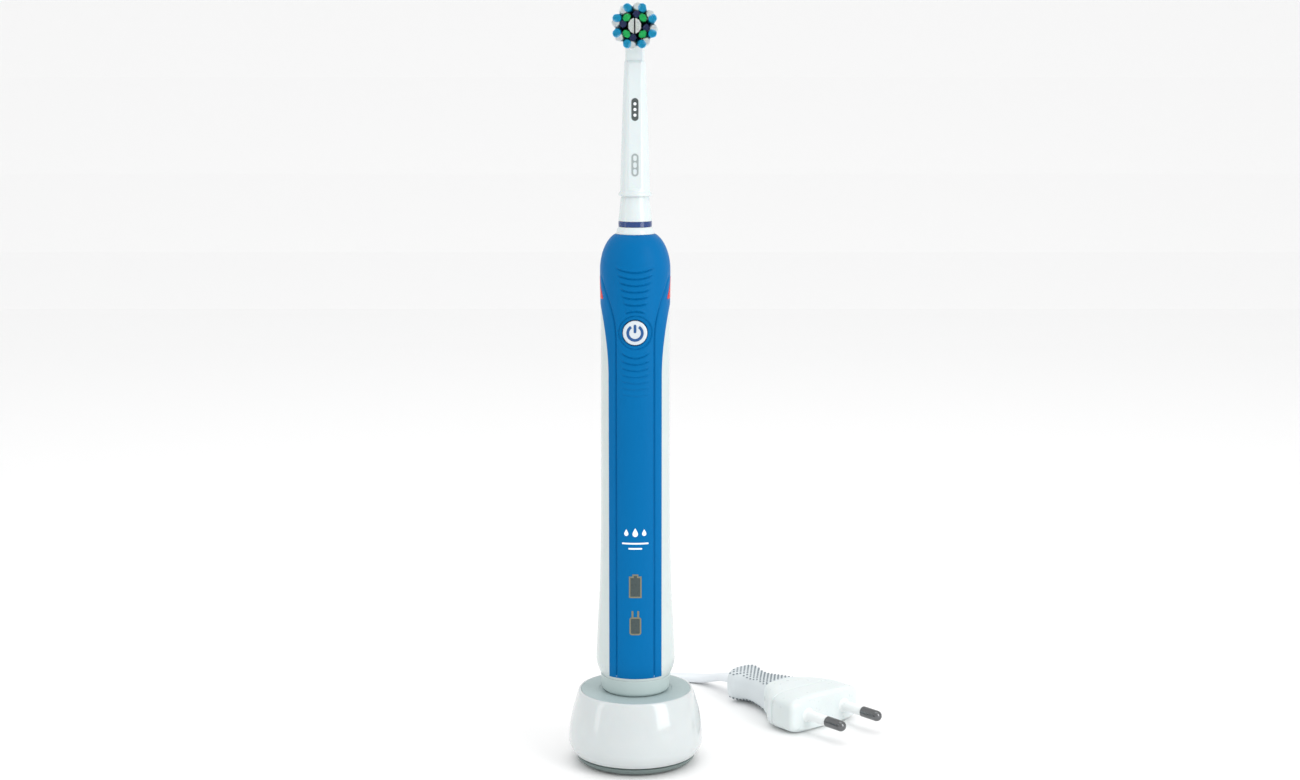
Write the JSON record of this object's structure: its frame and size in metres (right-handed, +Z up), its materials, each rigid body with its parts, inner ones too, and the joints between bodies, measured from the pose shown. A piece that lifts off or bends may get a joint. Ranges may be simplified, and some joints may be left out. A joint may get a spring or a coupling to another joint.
{
  "type": "electric toothbrush on charger",
  "caption": "Rechargeable toothbrush with a round oscillating head, standing on a round charging base with a flat mains lead and a two-pin plug.",
  "frame": {"origin": "centre of the charger's underside, on the surface it stands on", "axes": "+Z up along the brush, -Y towards the bristles and the button, +X to the right seen from the front"},
  "size_m": [0.1149, 0.1197, 0.2655],
  "materials": {
    "shell_white": "glossy",
    "deck_grey": "fine matt",
    "base_grey": "matt",
    "cap_white": "satin",
    "housing_white": "glossy",
    "grip_blue": "satin soft-touch",
    "lens_red": "translucent",
    "lens_smoke": "translucent",
    "button_silver": "pearl",
    "symbol_blue": "printed",
    "band_blue": "glossy",
    "head_white": "satin gloss",
    "seal_rubber": "matt",
    "foot_rubber": "matt",
    "cord_white": "satin",
    "plug_white": "satin",
    "grip_white": "dotted",
    "sleeve_white": "satin",
    "pin_metal": "polished",
    "steel": "ground",
    "can_steel": "plated",
    "brass": "machined",
    "copper": "enamelled wire",
    "ferrite": "sintered",
    "board_green": "solder mask",
    "inner_plastic": "moulded",
    "chip_black": "moulded",
    "cell_green": "sleeve",
    "bristle_blue": "nylon",
    "bristle_white": "nylon",
    "bristle_green": "nylon",
    "bristle_navy": "nylon"
  },
  "bodies": {
    "charger": {"charger_feet": "foot_rubber", "charger_base_plate": "base_grey", "charger_shell": "shell_white", "charger_deck_plate": "deck_grey", "ferrite_core": "ferrite", "primary_bobbin": "inner_plastic", "primary_winding": "copper", "charger_board": "board_green", "board_posts": "inner_plastic", "smoothing_capacitor": "chip_black", "charger_chips": "chip_black", "cord_gland": "cord_white", "mains_cord": "cord_white", "plug_grip": "grip_white", "plug_body": "plug_white", "plug_pin_sleeves": "sleeve_white", "plug_pins": "pin_metal"},
    "handle": {"pressure_lens": "lens_red", "charge_lens": "lens_smoke", "low_battery_lens": "lens_smoke", "front_grip": "grip_blue", "handle_housing": "housing_white", "handle_bottom_cap": "cap_white", "bottom_seal": "seal_rubber", "receiver_coil": "copper", "neck_collar": "head_white", "upper_bushing": "brass", "shaft_seal": "seal_rubber", "button_membrane": "seal_rubber", "chassis": "inner_plastic", "lower_bushing": "brass", "battery_cell": "cell_green", "battery_contacts": "brass", "main_board": "board_green", "tact_switch": "chip_black", "indicator_lights": "lens_smoke", "motor_can": "can_steel", "motor_end_cap": "inner_plastic", "gear_axle": "steel"},
    "power_button": {"power_button": "button_silver", "power_symbol": "symbol_blue"},
    "motor_rotor": {"motor_rotor": "steel", "motor_pinion": "brass"},
    "crank_gear": {"crank_gear": "inner_plastic"},
    "drive_shaft": {"drive_shaft": "steel", "rocker_arm": "inner_plastic"},
    "brush_head": {"head_tube": "head_white", "colour_ring": "band_blue", "disc_axle": "steel"},
    "drive_link": {"drive_link": "steel"},
    "bristle_disc": {"bristle_disc": "head_white", "blue_tufts": "bristle_blue", "white_tufts": "bristle_white", "green_tufts": "bristle_green", "navy_tufts": "bristle_navy", "centre_tufts": "bristle_white"}
  },
  "joints": [
    {"name": "handle_lift", "type": "slide", "parent": "charger", "child": "handle", "axis": [0, 0, 1], "range_m": [0, 0.06]},
    {"name": "head_pull", "type": "slide", "parent": "handle", "child": "brush_head", "axis": [0, 0, 1], "range_m": [0, 0.035]},
    {"name": "button_press", "type": "slide", "parent": "handle", "child": "power_button", "axis": [0, 1, 0], "range_m": [0, 0.0006], "stiffness_N_per_m": 1500},
    {"name": "motor_spin", "type": "hinge", "parent": "handle", "child": "motor_rotor", "pos_m": [0, -0.00073, 0.113], "axis": [0, 0, 1], "continuous": true},
    {"name": "crank_spin", "type": "hinge", "parent": "handle", "child": "crank_gear", "pos_m": [0, 0.0046, 0.128], "axis": [0, 0, 1], "continuous": true},
    {"name": "shaft_swing", "type": "hinge", "parent": "handle", "child": "drive_shaft", "pos_m": [0, 0, 0.137], "axis": [0, 0, 1], "range_deg": [-24, 24]},
    {"name": "link_swing", "type": "hinge", "parent": "brush_head", "child": "drive_link", "pos_m": [0, 0, 0.217], "axis": [0, 0, 1], "range_deg": [-24, 24]},
    {"name": "disc_swing", "type": "hinge", "parent": "brush_head", "child": "bristle_disc", "pos_m": [0, -0.0035, 0.258], "axis": [0, 1, 0], "range_deg": [-24, 24]}
  ],
  "couplings": [
    {"joint": "crank_spin", "follows": "motor_spin", "ratio": -0.5},
    {"joint": "link_swing", "follows": "shaft_swing", "ratio": 1},
    {"joint": "disc_swing", "follows": "shaft_swing", "ratio": -1}
  ]
}
